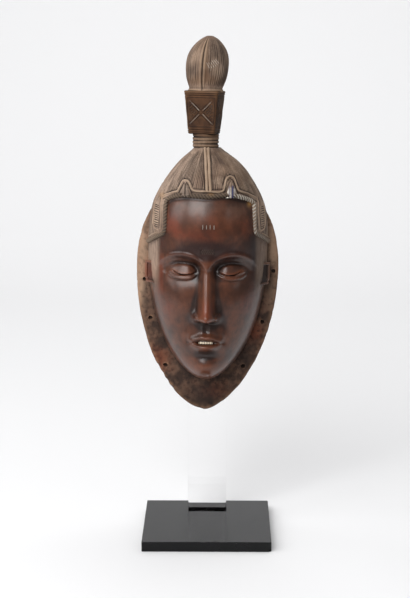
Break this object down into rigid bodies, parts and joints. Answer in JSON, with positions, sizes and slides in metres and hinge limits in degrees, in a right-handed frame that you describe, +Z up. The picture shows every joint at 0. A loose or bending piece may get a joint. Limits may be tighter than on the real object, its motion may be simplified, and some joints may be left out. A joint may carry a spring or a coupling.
{
  "type": "carved face mask on a stand",
  "caption": "Carved wooden face mask with a corded hairline, flat pierced rim and tall egg-and-box topknot, hung on a clear upright in a black square foot.",
  "frame": {"origin": "centre of the flat underside of the stand's square foot", "axes": "+Z up along the upright, -Y the way the face looks, +X to the right of someone facing the mask"},
  "size_m": [0.146, 0.13, 0.5065],
  "materials": {
    "carved_wood": "dark red-brown polished face, dry grey-brown hair and topknot, rough worn rim",
    "clear_acrylic": "clear, polished",
    "black_metal": "satin black"
  },
  "bodies": {
    "root": {"mask": "carved_wood", "stand_upright": "clear_acrylic", "stand_foot": "black_metal"}
  },
  "joints": []
}
